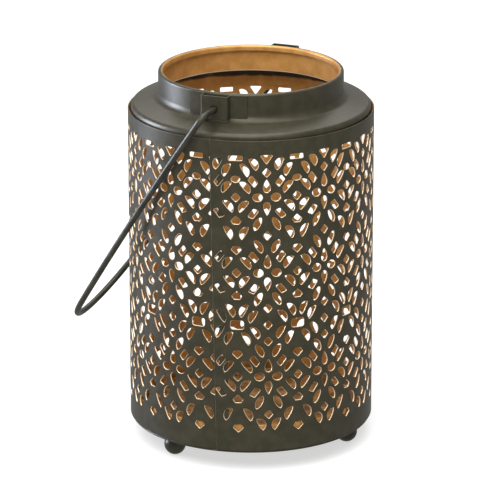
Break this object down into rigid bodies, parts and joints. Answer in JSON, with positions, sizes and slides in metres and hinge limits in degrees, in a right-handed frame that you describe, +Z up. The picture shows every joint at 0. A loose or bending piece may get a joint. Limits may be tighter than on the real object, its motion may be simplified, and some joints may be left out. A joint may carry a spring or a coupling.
{
  "type": "tealight holder",
  "caption": "Round perforated metal tealight lantern with an open rolled neck, a swinging wire bail and ball feet.",
  "frame": {"origin": "on the body's axis, in the plane that the three ball feet stand on", "axes": "+Z up along the body's axis, out of the open neck; the bail's pivot line runs along Y, with the front bracket at -Y; at rest the bail lies on the body's -X side"},
  "size_m": [0.1635, 0.1422, 0.2029],
  "materials": {
    "pierced_sheet": "satin dark bronze-green outside, satin copper-gold inside",
    "collar_sheet": "satin dark bronze-green outside, satin copper-gold inside",
    "pan_sheet": "satin copper-gold inside, dark bronze-green outside",
    "bracket_strap": "satin dark bronze-green",
    "bail_wire": "satin dark bronze-green",
    "foot_ball": "satin dark bronze-green",
    "foot_screw": "dulled, sprayed over with the inside colour"
  },
  "bodies": {
    "lantern": {"body_shell": "pierced_sheet", "top_collar": "collar_sheet", "base_pan": "pan_sheet", "bracket_front": "bracket_strap", "bracket_rear": "bracket_strap", "ball_foot_1": "foot_ball", "ball_foot_2": "foot_ball", "ball_foot_3": "foot_ball", "foot_screw_1": "foot_screw", "foot_screw_2": "foot_screw", "foot_screw_3": "foot_screw"},
    "bail": {"bail_handle": "bail_wire"}
  },
  "joints": [
    {"name": "bail_swing", "type": "hinge", "parent": "lantern", "child": "bail", "pos_m": [0, 0, 0.1952], "axis": [0, 1, 0], "range_deg": [0, 290]}
  ]
}
